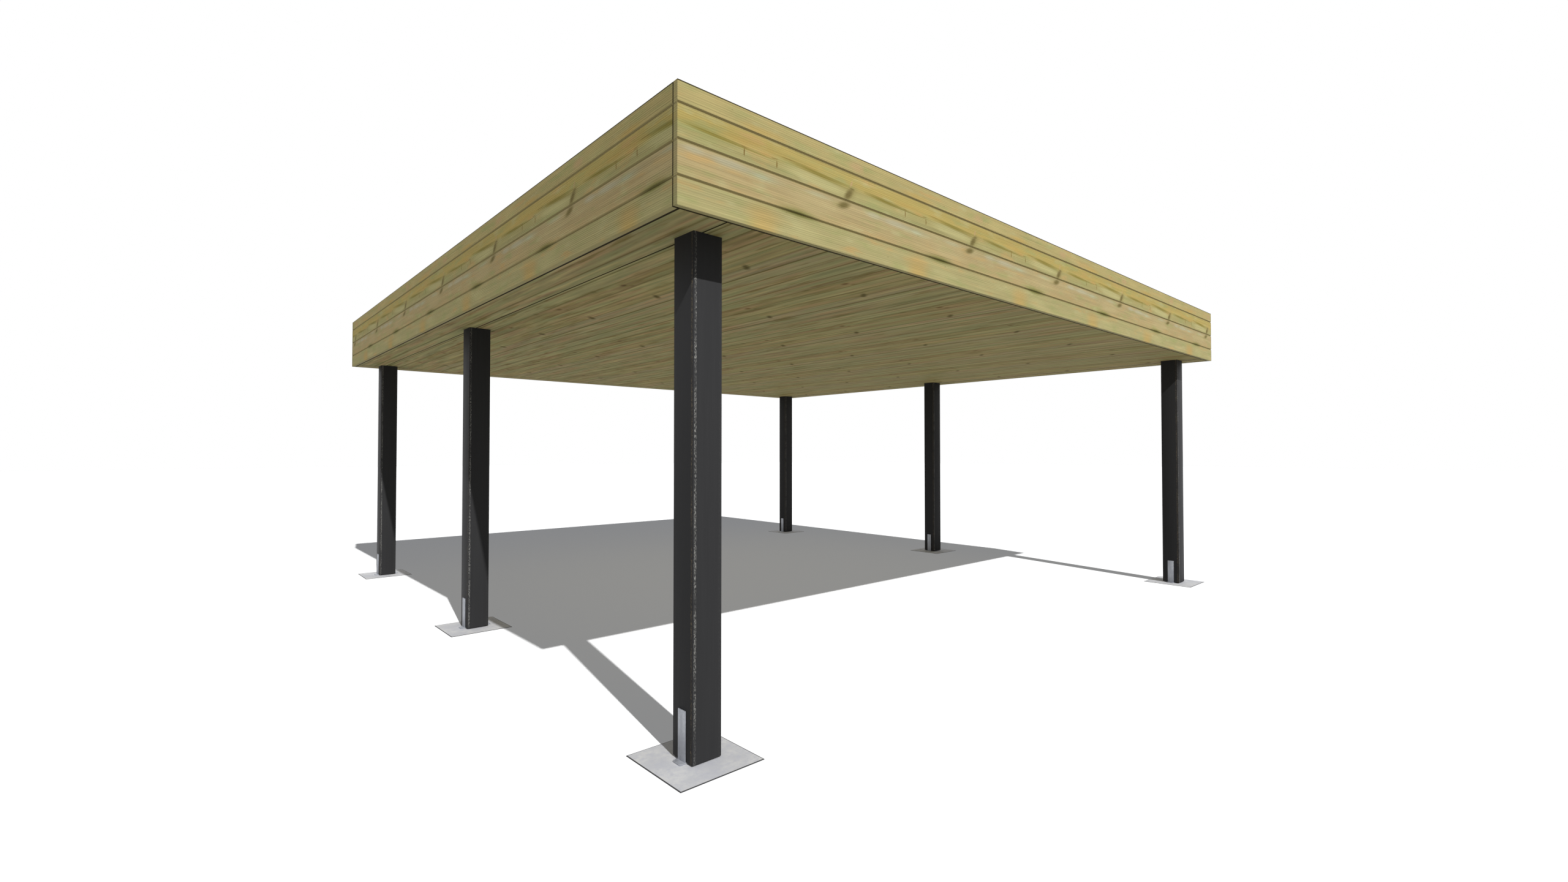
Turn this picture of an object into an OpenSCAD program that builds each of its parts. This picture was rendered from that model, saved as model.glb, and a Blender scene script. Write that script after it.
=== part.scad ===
// Flat-roofed double carport: six square posts in galvanised shoes on concrete
// pads, carrying a square timber roof box that is clad and lined with boards.
// Millimetres. +Z is up, the front faces -Y, and the origin is at the middle of
// the footprint, on the undersides of the pads.

/* [Roof outline] */
// Roof width, left to right
roof_w = 6000; // [3000:50:8000]
// Roof length, front to back
roof_l = 6000; // [3000:50:8000]
// Clear height from the pad tops to the ceiling
clear_h = 2100; // [1900:10:3000]

/* [Fascia] */
// Fascia height, ceiling to top edge
fascia_h = 450; // [400:10:600]
// Fascia board thickness
fascia_t = 28; // [18:1:45]
// Visible height of a full fascia board
board_cover = 130.5; // [90:0.5:160]
// Visible height of the top fascia board, which is ripped narrower
top_board_h = 81; // [40:1:130]
// Chamfer on each joint edge of a board
joint_chamfer = 5.5; // [1:0.5:8]

/* [Posts] */
// Post width, both ways
post_w = 140; // [90:5:200]
// Radius on the post's upright corners
post_r = 3; // [1:0.5:20]
// Roof edge to post centre, left and right
post_inset_x = 270; // [150:5:600]
// Roof edge to post centre, front and back
post_inset_y = 260; // [150:5:600]

/* [Post shoes] */
// Base plate length, left to right
shoe_l = 200; // [170:5:300]
// Base plate width
shoe_w = 55; // [40:1:100]
// Base plate thickness
shoe_plate_t = 6; // [4:1:12]
// Radius on the base plate's corners
shoe_r = 8; // [2:1:20]
// Strap width
strap_w = 50; // [30:1:80]
// Strap thickness
strap_t = 5; // [3:0.5:8]
// Strap height above the base plate
strap_h = 200; // [100:5:300]
// Gap between a strap and the post face
strap_fit = 0.3; // [0.1:0.1:1]

/* [Pads] */
// Concrete pad size, both ways
pad_w = 400; // [300:10:600]
// Concrete pad thickness
pad_t = 50; // [40:5:300]
// Distance that a pad sits outward of its post's centre
pad_shift = 10; // [0:1:40]

/* [Roof build-up] */
// Ceiling board thickness
ceiling_t = 20; // [15:1:28]
// Left roof edge to the joint between soffit strip and ceiling
soffit_seam = 243; // [210:1:330]
// Gap around a post where it passes the ceiling
post_cutout_fit = 1; // [0.5:0.5:5]
// Edge timber thickness
rim_t = 45; // [35:1:80]
// Fall from the fascia's top edge to the edge timbers' tops
rim_drop = 12; // [5:1:40]
// Width of the two beams over the posts
beam_w = 140; // [90:5:200]
// Height of beams and joists
beam_h = 300; // [200:5:330]
// Joist thickness
joist_t = 45; // [35:1:80]
// Number of joists
joist_n = 11; // [4:1:14]
// Roof deck thickness
deck_t = 18; // [12:1:28]
// Membrane thickness
membrane_t = 4; // [2:1:8]

/* [Hidden] */
$fn = 48;
half_w = roof_w / 2;
half_l = roof_l / 2;
eps = 1;

// heights
pad_top = pad_t;
post_foot = pad_top + shoe_plate_t;
ceiling_z = pad_top + clear_h;
ceiling_top = ceiling_z + ceiling_t;
post_h = ceiling_top - post_foot;
beam_top = ceiling_top + beam_h;
deck_top = beam_top + deck_t;
fascia_top = ceiling_z + fascia_h;
rim_top = fascia_top - rim_drop;
rim_h = rim_top - ceiling_top;

// fascia board rows, as depth from the top edge to each joint
row_joint = [0, top_board_h, top_board_h + board_cover, top_board_h + 2 * board_cover, fascia_h];

// plan positions
inner_w = roof_w - 2 * fascia_t;
inner_l = roof_l - 2 * fascia_t;
core_w = inner_w - 2 * rim_t;
core_l = inner_l - 2 * rim_t;
post_x = half_w - post_inset_x;
post_y = half_l - post_inset_y;
pad_x = post_x + pad_shift;
joist_span = 2 * post_x - beam_w;
joist_pitch = (core_l - joist_t) / (joist_n - 1);
cutout_w = post_w + 2 * post_cutout_fit;

// ceiling field: left joint, and right and back joints along the posts' outer faces
seam_left = -half_w + soffit_seam;
seam_right = post_x + cutout_w / 2;
seam_back = post_y + cutout_w / 2;

// a square with rounded corners, centred
module rounded_plan(w, l, r) {
    square([w - 2 * r, l], center = true);
    square([w, l - 2 * r], center = true);
    for (sx = [-1, 1])
        for (sy = [-1, 1])
            translate([sx * (w / 2 - r), sy * (l / 2 - r)])
                circle(r = r);
}

// a block centred in plan, from z up
module block(w, l, z, h) {
    translate([-w / 2, -l / 2, z])
        cube([w, l, h]);
}

// place(sx, sy): sx is -1 left or 1 right, sy is -1 front, 0 middle or 1 back
module pad(sx, sy) {
    color("lightgray")
        translate([sx * pad_x, sy * post_y, 0])
            block(pad_w, pad_w, 0, pad_t);
}

module shoe(sx, sy) {
    color("silver")
        translate([sx * post_x, sy * post_y, 0]) {
            translate([0, 0, pad_top])
                linear_extrude(height = shoe_plate_t)
                    rounded_plan(shoe_l, shoe_w, shoe_r);
            for (side = [-1, 1])
                translate([side * (post_w / 2 + strap_fit + strap_t / 2), 0, 0])
                    block(strap_t, strap_w, post_foot - eps, strap_h + eps);
        }
}

module post(sx, sy) {
    color("dimgray")
        translate([sx * post_x, sy * post_y, post_foot])
            linear_extrude(height = post_h)
                rounded_plan(post_w, post_w, post_r);
}

// profile of fascia row 1 (top) to 4 (bottom): x is depth from the outer face
module fascia_profile(row) {
    top = fascia_top - row_joint[row - 1];
    bottom = fascia_top - row_joint[row];
    top_c = row == 1 ? 0 : joint_chamfer;
    bottom_c = row == 4 ? 0 : joint_chamfer;
    union() {
        translate([joint_chamfer, bottom])
            square([fascia_t - joint_chamfer, top - bottom]);
        polygon([
            [0, bottom + bottom_c],
            [bottom_c, bottom],
            [joint_chamfer + eps, bottom],
            [joint_chamfer + eps, top],
            [top_c, top],
            [0, top - top_c]
        ]);
    }
}

// a board on the front, run along X, turned for the other three sides
module fascia_board(row, length, reach) {
    color("burlywood")
        translate([-length / 2, -reach, 0])
            rotate([90, 0, 90])
                linear_extrude(height = length)
                    fascia_profile(row);
}

module fascia_front(row) {
    fascia_board(row, roof_w, half_l);
}

module fascia_back(row) {
    rotate([0, 0, 180])
        fascia_board(row, roof_w, half_l);
}

module fascia_left(row) {
    rotate([0, 0, -90])
        fascia_board(row, inner_l, half_w);
}

module fascia_right(row) {
    rotate([0, 0, 90])
        fascia_board(row, inner_l, half_w);
}

// the six square holes that the posts pass through
module post_cutouts() {
    for (sx = [-1, 1])
        for (sy = [-1, 0, 1])
            translate([sx * post_x, sy * post_y, 0])
                block(cutout_w, cutout_w, ceiling_z - eps, ceiling_t + 2 * eps);
}

// a flat board panel between two corners, at ceiling height
module panel(x0, y0, x1, y1) {
    translate([x0, y0, ceiling_z])
        cube([x1 - x0, y1 - y0, ceiling_t]);
}

module ceiling() {
    color("tan")
        difference() {
            panel(seam_left, -inner_l / 2, seam_right, seam_back);
            post_cutouts();
        }
}

module soffit_sides() {
    color("tan")
        difference() {
            union() {
                panel(-inner_w / 2, -inner_l / 2, seam_left, seam_back);
                panel(seam_right, -inner_l / 2, inner_w / 2, seam_back);
            }
            post_cutouts();
        }
}

module soffit_back() {
    color("tan")
        panel(-inner_w / 2, seam_back, inner_w / 2, inner_l / 2);
}

module rim_cross(side) {
    color("peru")
        translate([0, side * (inner_l - rim_t) / 2, 0])
            block(inner_w, rim_t, ceiling_top, rim_h);
}

module rim_side(side) {
    color("peru")
        translate([side * (inner_w - rim_t) / 2, 0, 0])
            block(rim_t, core_l, ceiling_top, rim_h);
}

module beams() {
    color("peru")
        for (side = [-1, 1])
            translate([side * post_x, 0, 0])
                block(beam_w, core_l, ceiling_top, beam_h);
}

module joists() {
    color("peru")
        for (i = [0 : joist_n - 1])
            translate([0, -(core_l - joist_t) / 2 + i * joist_pitch, 0])
                block(joist_span, joist_t, ceiling_top, beam_h);
}

module roof_deck() {
    color("sienna")
        block(core_w, core_l, beam_top, deck_t);
}

// a shallow tray: flat on the deck, up the edge timbers and over their tops
module roof_membrane() {
    color("black")
        difference() {
            union() {
                block(core_w, core_l, deck_top, rim_top - deck_top + eps);
                block(inner_w, inner_l, rim_top, membrane_t);
            }
            block(core_w - 2 * membrane_t, core_l - 2 * membrane_t, deck_top + membrane_t, rim_h);
        }
}

pad(-1, -1);  // pad_left_front
pad(-1, 0);  // pad_left_middle
pad(-1, 1);  // pad_left_back
pad(1, -1);  // pad_right_front
pad(1, 0);  // pad_right_middle
pad(1, 1);  // pad_right_back
shoe(-1, -1);  // shoe_left_front
shoe(-1, 0);  // shoe_left_middle
shoe(-1, 1);  // shoe_left_back
shoe(1, -1);  // shoe_right_front
shoe(1, 0);  // shoe_right_middle
shoe(1, 1);  // shoe_right_back
post(-1, -1);  // post_left_front
post(-1, 0);  // post_left_middle
post(-1, 1);  // post_left_back
post(1, -1);  // post_right_front
post(1, 0);  // post_right_middle
post(1, 1);  // post_right_back
fascia_front(1);  // fascia_front_1
fascia_front(2);  // fascia_front_2
fascia_front(3);  // fascia_front_3
fascia_front(4);  // fascia_front_4
fascia_back(1);  // fascia_back_1
fascia_back(2);  // fascia_back_2
fascia_back(3);  // fascia_back_3
fascia_back(4);  // fascia_back_4
fascia_left(1);  // fascia_left_1
fascia_left(2);  // fascia_left_2
fascia_left(3);  // fascia_left_3
fascia_left(4);  // fascia_left_4
fascia_right(1);  // fascia_right_1
fascia_right(2);  // fascia_right_2
fascia_right(3);  // fascia_right_3
fascia_right(4);  // fascia_right_4
ceiling();
soffit_sides();
soffit_back();
rim_cross(-1);  // rim_front
rim_cross(1);  // rim_back
rim_side(-1);  // rim_left
rim_side(1);  // rim_right
beams();
joists();
roof_deck();
roof_membrane();
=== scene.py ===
# %% [markdown]
# # A flat-roofed timber carport
#
# The carport is a square roof on six black posts. Four rows of pressure-treated
# pine boards go round the roof edge, and more pine boards line its underside.
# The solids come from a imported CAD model. This file gives them their looks: it
# loads the model, builds detailed pieces where a plain solid is too plain, and
# paints every piece with materials made from shader nodes.
#
# Everything is in metres. X runs across the front, Y runs towards the back and
# Z is up. The ground plan is centred on the origin.

# %% Load the model
import math

import bmesh
import bpy
from mathutils import Matrix, Vector


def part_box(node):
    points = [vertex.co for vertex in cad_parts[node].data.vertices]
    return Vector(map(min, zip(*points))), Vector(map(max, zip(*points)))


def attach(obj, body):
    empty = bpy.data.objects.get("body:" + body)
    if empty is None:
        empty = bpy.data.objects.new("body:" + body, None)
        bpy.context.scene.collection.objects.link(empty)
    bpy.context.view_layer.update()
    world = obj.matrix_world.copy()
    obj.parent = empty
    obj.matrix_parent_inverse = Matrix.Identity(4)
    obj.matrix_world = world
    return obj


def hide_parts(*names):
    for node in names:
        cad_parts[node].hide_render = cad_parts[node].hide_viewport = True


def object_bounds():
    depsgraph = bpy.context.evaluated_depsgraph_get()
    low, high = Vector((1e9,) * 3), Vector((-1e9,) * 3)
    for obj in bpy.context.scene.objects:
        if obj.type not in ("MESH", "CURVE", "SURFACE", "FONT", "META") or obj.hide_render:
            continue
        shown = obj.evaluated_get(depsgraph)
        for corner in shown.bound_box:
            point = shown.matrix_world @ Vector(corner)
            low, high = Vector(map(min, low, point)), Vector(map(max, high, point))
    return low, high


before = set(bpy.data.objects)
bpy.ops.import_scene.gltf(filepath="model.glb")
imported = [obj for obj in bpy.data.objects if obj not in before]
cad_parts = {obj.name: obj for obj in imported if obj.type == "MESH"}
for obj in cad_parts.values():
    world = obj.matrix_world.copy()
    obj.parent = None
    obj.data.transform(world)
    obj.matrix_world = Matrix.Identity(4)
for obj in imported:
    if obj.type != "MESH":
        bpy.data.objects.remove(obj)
cad_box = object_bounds()
print("nodes", len(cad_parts), "box", [tuple(round(v, 3) for v in c) for c in cad_box])

# %% [markdown]
# ## The camera
#
# The eye is a person's who stands outside the near left corner, a little
# lower than usual, and looks across the plan. The wide lens keeps the whole
# roof in view from so close. The camera is made first, so that each piece can
# be judged from the right place as soon as it exists.

# %% Camera
SENSOR_MM = 36.0
LENS_MM = 15.358
EYE = Vector((-4.2917, -4.9926, 1.2742))
# in degrees: how far it looks above the level, and how far it turns from straight ahead
LOOK_UP = 1.0049
LOOK_ROUND = -42.0855

camera = bpy.data.objects.new("camera", bpy.data.cameras.new("camera"))
camera.data.sensor_width = SENSOR_MM
camera.data.lens = LENS_MM
camera.location = EYE
camera.rotation_euler = (math.radians(90 + LOOK_UP), 0, math.radians(LOOK_ROUND))
bpy.context.scene.collection.objects.link(camera)
bpy.context.scene.camera = camera
print("eye height", round(EYE.z, 2), "m")

# %% [markdown]
# ## Helpers for node trees
#
# A material is a small program drawn with nodes. Written out in full, each
# node takes many lines, so short helpers do it: `paint` turns a colour into
# light, `add` makes any node and wires it up, `calc` makes a Math node, and
# `tone` mixes two colours.

# %% Node helpers
# a Mix node has sockets for every kind of data, and these are its colours
MIX_BELOW, MIX_ABOVE, MIX_RESULT = 6, 7, 2


def paint(red, green, blue):
    """A colour as a display shows it, 0 to 255, turned into linear light by the sRGB curve."""
    def channel(value):
        share = value / 255
        return share / 12.92 if share <= 0.04045 else ((share + 0.055) / 1.055) ** 2.4
    return (channel(red), channel(green), channel(blue), 1.0)


def add(tree, kind, inputs=None, **settings):
    """Makes a node. An input is given a value, or an output to link from."""
    made = tree.nodes.new(kind)
    for name, value in settings.items():
        setattr(made, name, value)
    for name, value in (inputs or {}).items():
        if isinstance(value, bpy.types.NodeSocket):
            tree.links.new(value, made.inputs[name])
        else:
            made.inputs[name].default_value = value
    return made


def calc(tree, operation, *values):
    """A Math node's output."""
    return add(tree, "ShaderNodeMath", dict(enumerate(values)), operation=operation).outputs[0]


def tone(tree, amount, below, above, way="MIX"):
    """Two colours mixed: amount 0 keeps below, amount 1 gives above."""
    inputs = {0: amount, MIX_BELOW: below, MIX_ABOVE: above}
    return add(tree, "ShaderNodeMix", inputs, data_type="RGBA", blend_type=way).outputs[MIX_RESULT]


print("white paint is", paint(255, 255, 255))

# %% [markdown]
# The rest of the helpers shape patterns. `fade`, `near` and `share_between`
# turn a measure into a mask, `ramp` turns it into a colour, and `between`
# turns a pattern into a value. `noise` is where nearly all the unevenness
# comes from: `board_noise` draws it out along a board, `drawn_up` draws it
# out upwards, and `patches` tints a colour by it.

# %% Pattern helpers
def fade(tree, value, start, end, low=0.0, high=1.0):
    """A smooth step from low to high, as value goes from start to end."""
    inputs = {"Value": value, "From Min": start, "From Max": end, "To Min": low, "To Max": high}
    return add(tree, "ShaderNodeMapRange", inputs, interpolation_type="SMOOTHSTEP").outputs["Result"]


def near(tree, value, edge, line, side):
    """
    A mask beside an edge. Line says how far from the edge the mask starts, and
    how far from it the mask is full. Side is 1 where these distances count
    upwards from the edge, and -1 where they count downwards.
    """
    return fade(tree, value, edge + side * line[0], edge + side * line[1])


def between(tree, pattern, low, high):
    """A value that goes from low to high as a pattern goes from 0 to 1."""
    return calc(tree, "MULTIPLY_ADD", pattern, high - low, low)


def share_between(tree, value, start, end):
    """Where a value lies between start and end, 0 to 1."""
    inputs = {"Value": value, "From Min": start, "From Max": end}
    return add(tree, "ShaderNodeMapRange", inputs).outputs["Result"]


def ramp(tree, value, stops, interpolation="LINEAR"):
    """A colour ramp's colour. Stops are (position, colour)."""
    made = add(tree, "ShaderNodeValToRGB", {0: value})
    made.color_ramp.interpolation = interpolation
    elements = made.color_ramp.elements
    while len(elements) < len(stops):
        elements.new(0.5)
    for element, (position, colour) in zip(elements, stops):
        element.position = position
        element.color = colour
    return made.outputs["Color"]


def noise(tree, place, scale, detail, roughness=0.55):
    """A Noise texture's grey value, from 0 to 1 and mostly near one half."""
    inputs = {"Vector": place, "Scale": scale, "Detail": detail, "Roughness": roughness}
    return add(tree, "ShaderNodeTexNoise", inputs).outputs[0]


def board_noise(tree, places, sizes, detail, roughness=0.55):
    """Noise whose grains have one size along, one across and one through a board."""
    parts = [calc(tree, "DIVIDE", place, size) for place, size in zip(places, sizes)]
    vector = add(tree, "ShaderNodeCombineXYZ", dict(enumerate(parts))).outputs[0]
    return noise(tree, vector, 1.0, detail, roughness)


def drawn_up(tree, axes, share):
    """A place whose height counts for only a share, so that a pattern on it is tall."""
    height = calc(tree, "MULTIPLY", axes["Z"], share)
    return add(tree, "ShaderNodeCombineXYZ", {"X": axes["X"], "Y": axes["Y"], "Z": height}).outputs[0]


def patches(tree, colour, value, layers):
    """Tints a colour where a noise passes from one value to another, by an amount."""
    for start, full, amount, tint in layers:
        colour = tone(tree, fade(tree, value, start, full, 0.0, amount), colour, tint)
    return colour


print("pattern helpers are ready")

# %% [markdown]
# ## Effects that several materials share
#
# Each effect is a node group: a box of nodes with named sockets. It is built
# once and placed in every material that needs it. A group here never holds a
# shader, only colours, masks and heights, so it can be baked to a texture.

# %% Start and end of a node group
def effect(name, inputs, outputs):
    """An empty group, with its inputs' outputs and its outputs' inputs."""
    group = bpy.data.node_groups.new(name, "ShaderNodeTree")
    for label, kind, value in inputs:
        made = group.interface.new_socket(label, in_out="INPUT", socket_type="NodeSocket" + kind)
        made.default_value = value
    for label, kind in outputs:
        group.interface.new_socket(label, in_out="OUTPUT", socket_type="NodeSocket" + kind)
    entry = group.nodes.new("NodeGroupInput").outputs
    exit_ = group.nodes.new("NodeGroupOutput").inputs
    return group, entry, exit_


def give(group, exit_, **values):
    """Links what a group puts out."""
    for label, value in values.items():
        group.links.new(value, exit_[label])


print("groups before the first effect:", len(bpy.data.node_groups))

# %% [markdown]
# ### Pine grain
#
# A sawn and ribbed pine board has fine lines along its whole length, broader
# streaks where early and late wood take the treatment differently, and short
# fibres. The ribs are a sine wave across the board, mixed with thin lines of
# noise so that no two are alike, and a slow sway pushes both about. The
# streaks and fibres are noise too, drawn out along the board.

# %% Pine grain group
RIB_PITCH = 0.0085
SWAY = 0.008
WAVE_SHARE = 0.35
LINE_GAIN = 1.4
LINE_LEVEL = -0.38
FIBRE_HEIGHT = 0.5
# each pattern's size along, across and through a board
SWAY_SIZE = (0.55, 0.06, 0.3)
LINE_SIZE = (0.6, 0.0036, 0.3)
STREAK_SIZE = (0.7, 0.022, 0.3)
FIBRE_SIZE = (0.03, 0.0015, 0.01)

pine_grain, entry, exit_ = effect(
    "pine_grain",
    [("Along", "Float", 0.0), ("Across", "Float", 0.0), ("Depth", "Float", 0.0)],
    [("Ribs", "Float"), ("Streaks", "Float"), ("Fibres", "Float"), ("Height", "Float")],
)
along, across, depth = entry["Along"], entry["Across"], entry["Depth"]
sway = board_noise(pine_grain, (along, across, depth), SWAY_SIZE, detail=2.0)
bent = calc(pine_grain, "MULTIPLY_ADD", sway, SWAY, across)
phase = calc(pine_grain, "MULTIPLY", bent, 2 * math.pi / RIB_PITCH)
wave = calc(pine_grain, "MULTIPLY_ADD", calc(pine_grain, "SINE", phase), 0.5, 0.5)
lines = board_noise(pine_grain, (along, bent, depth), LINE_SIZE, detail=1.0)
lines = calc(pine_grain, "MULTIPLY_ADD", lines, LINE_GAIN, LINE_LEVEL)
ribs = calc(pine_grain, "MULTIPLY_ADD", wave, WAVE_SHARE, lines)
streaks = board_noise(pine_grain, (along, bent, depth), STREAK_SIZE, detail=4.0, roughness=0.6)
fibres = board_noise(pine_grain, (along, across, depth), FIBRE_SIZE, detail=2.0, roughness=0.6)
height = calc(pine_grain, "ADD", ribs, calc(pine_grain, "MULTIPLY", fibres, FIBRE_HEIGHT))
give(pine_grain, exit_, Ribs=ribs, Streaks=streaks, Fibres=fibres, Height=height)
print("pine_grain has", len(pine_grain.nodes), "nodes")

# %% [markdown]
# ### A soft spot
#
# Knots, checks and stains are all marks with a place, a size and a slant. One
# group makes the mask for any of them: it moves the place to the middle of
# the mark, turns it, divides it by the mark's half sizes and fades with the
# distance. The board's length runs along X here and its width along Z.

# %% Soft spot group
soft_spot, entry, exit_ = effect(
    "soft_spot",
    [("Place", "Vector", (0, 0, 0)), ("Middle", "Vector", (0, 0, 0)), ("Half size", "Vector", (1, 1, 1)),
     ("Turn", "Float", 0.0), ("Core", "Float", 0.4)],
    [("Mask", "Float")],
)
inputs = {"Vector": entry["Place"], "Center": entry["Middle"], "Angle": entry["Turn"]}
turned = add(soft_spot, "ShaderNodeVectorRotate", inputs, rotation_type="Y_AXIS").outputs[0]
inputs = {0: turned, 1: entry["Middle"]}
moved = add(soft_spot, "ShaderNodeVectorMath", inputs, operation="SUBTRACT").outputs[0]
inputs = {0: moved, 1: entry["Half size"]}
sized = add(soft_spot, "ShaderNodeVectorMath", inputs, operation="DIVIDE").outputs[0]
reach = add(soft_spot, "ShaderNodeVectorMath", {0: sized}, operation="LENGTH").outputs["Value"]
give(soft_spot, exit_, Mask=fade(soft_spot, reach, entry["Core"], 1.0, 1.0, 0.0))
print("soft_spot has", len(soft_spot.nodes), "nodes")

# %% Marks from a list
# a mark goes right through its board, so its half size in that direction is as good as endless
THROUGH = 1000.0


def lay_marks(tree, colour, place, marks):
    """Tints a colour with each (middle, half size, turn in degrees, core, tint, amount)."""
    for middle, half_size, turn, core, tint, amount in marks:
        inputs = {
            "Place": place,
            "Middle": (middle[0], 0, middle[1]),
            "Half size": (half_size[0], THROUGH, half_size[1]),
            "Turn": math.radians(turn),
            "Core": core,
        }
        mask = add(tree, "ShaderNodeGroup", inputs, node_tree=soft_spot).outputs["Mask"]
        colour = tone(tree, calc(tree, "MULTIPLY", mask, amount), colour, tint)
    return colour


print("a mark reaches", round(THROUGH), "m into its board")

# %% [markdown]
# ## Helpers for materials
#
# Every material here starts and ends alike. It starts from Object coordinates,
# which are metres on the real thing, so a knot is as wide as it says. It ends
# in the Principled shader, with a colour, a roughness and a bump. For wood,
# the grain group goes in between, and makes the colour lighter and darker.

# %% Material helpers
def material(name):
    """A new material, its tree, its Principled shader and its Object coordinates."""
    made = bpy.data.materials.new(name)
    made.use_nodes = True
    tree = made.node_tree
    place = add(tree, "ShaderNodeTexCoord").outputs["Object"]
    return made, tree, tree.nodes["Principled BSDF"], place


def split(tree, place):
    """The X, Y and Z of a place."""
    return add(tree, "ShaderNodeSeparateXYZ", {0: place}).outputs


def finish_shader(tree, shader, colour, rough, height, distance):
    """Links a finish's colour, roughness and bump into its shader."""
    tree.links.new(colour, shader.inputs["Base Color"])
    tree.links.new(rough, shader.inputs["Roughness"])
    bump = add(tree, "ShaderNodeBump", {"Height": height, "Distance": distance})
    tree.links.new(bump.outputs[0], shader.inputs["Normal"])


def grain_of(tree, along, across, depth):
    """The pine grain at a place on a board."""
    inputs = {"Along": along, "Across": across, "Depth": depth}
    return add(tree, "ShaderNodeGroup", inputs, node_tree=pine_grain).outputs


def grained(tree, colour, grain, contrasts):
    """A colour made lighter and darker by the grain. Each contrast is (pattern, gain, level)."""
    parts = [calc(tree, "MULTIPLY_ADD", grain[pattern], gain, level) for pattern, gain, level in contrasts]
    light = parts[0]
    for part in parts[1:]:
        light = calc(tree, "MULTIPLY", light, part)
    shade = add(tree, "ShaderNodeCombineColor", {0: light, 1: light, 2: light}).outputs[0]
    return tone(tree, 1.0, colour, shade, "MULTIPLY")


print("material helpers are ready")

# %% [markdown]
# ## Fascia wood
#
# The four rows of boards are green-yellow pressure-treated pine. Each row has
# its own tint: straw yellow at the top, yellow over green in the second row,
# pinkish in the third and a greener straw at the bottom. One colour ramp over
# the height holds them all, with a sharp step at each joint, so that boards
# of all four rows can share a material.

# %% Fascia rows
ROWS = (1, 2, 3, 4)
FASCIA_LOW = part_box("fascia_front_4")[0].z
FASCIA_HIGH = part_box("fascia_front_1")[1].z
FASCIA_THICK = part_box("fascia_front_4")[1].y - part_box("fascia_front_4")[0].y
JOINTS = [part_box(f"fascia_front_{row}")[0].z for row in ROWS[:-1]]
# half of a step at a joint, and the middle and half of the slow change inside the second row
STEP = 0.001
BLEND_Z = 2.452
BLEND = 0.03


def row_height(z):
    """Where a height lies between the fascia's lower and upper edge, 0 to 1."""
    return (z - FASCIA_LOW) / (FASCIA_HIGH - FASCIA_LOW)


ROW_TINTS = [
    (0.0, paint(178, 168, 118)),
    (row_height(JOINTS[2]) - STEP, paint(178, 168, 118)),
    (row_height(JOINTS[2]) + STEP, paint(184, 163, 115)),
    (row_height(JOINTS[1]) - STEP, paint(181, 164, 121)),
    (row_height(JOINTS[1]) + STEP, paint(172, 164, 113)),
    (row_height(BLEND_Z) - BLEND, paint(173, 162, 107)),
    (row_height(BLEND_Z) + BLEND, paint(186, 166, 98)),
    (row_height(JOINTS[0]) - STEP, paint(181, 163, 99)),
    (row_height(JOINTS[0]) + STEP, paint(183, 168, 114)),
]
print("joints between rows at", [round(joint, 3) for joint in JOINTS], "m")

# %% [markdown]
# ### Marks on the fascia
#
# No pine board is even. Knots, checks, pale and rusty patches and dark resin
# streaks would never fall in the right places by chance, so they are set down
# one by one in a list. The list covers about a metre of fascia, and then it
# starts again, as the boards are cut from like pieces.

# %% Fascia marks
# how long the list's stretch of board is, and where it starts on the side boards
MARK_PITCH = 0.996
SIDE_SHIFT = 0.750

KNOT = paint(116, 104, 62)
CHECK = paint(120, 92, 40)
OLIVE = paint(136, 124, 59)
PALE = paint(184, 184, 148)
ASH = paint(187, 181, 150)
MOSS = paint(118, 121, 59)
RUST = paint(193, 160, 99)
HONEY = paint(200, 168, 100)
BLUSH = paint(195, 164, 120)
AMBER = paint(191, 162, 94)
STRAW = paint(195, 179, 122)
CREAM = paint(192, 184, 130)
PEACH = paint(190, 173, 126)
DUSK = paint(156, 143, 92)
DAMP = paint(92, 92, 40)

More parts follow.
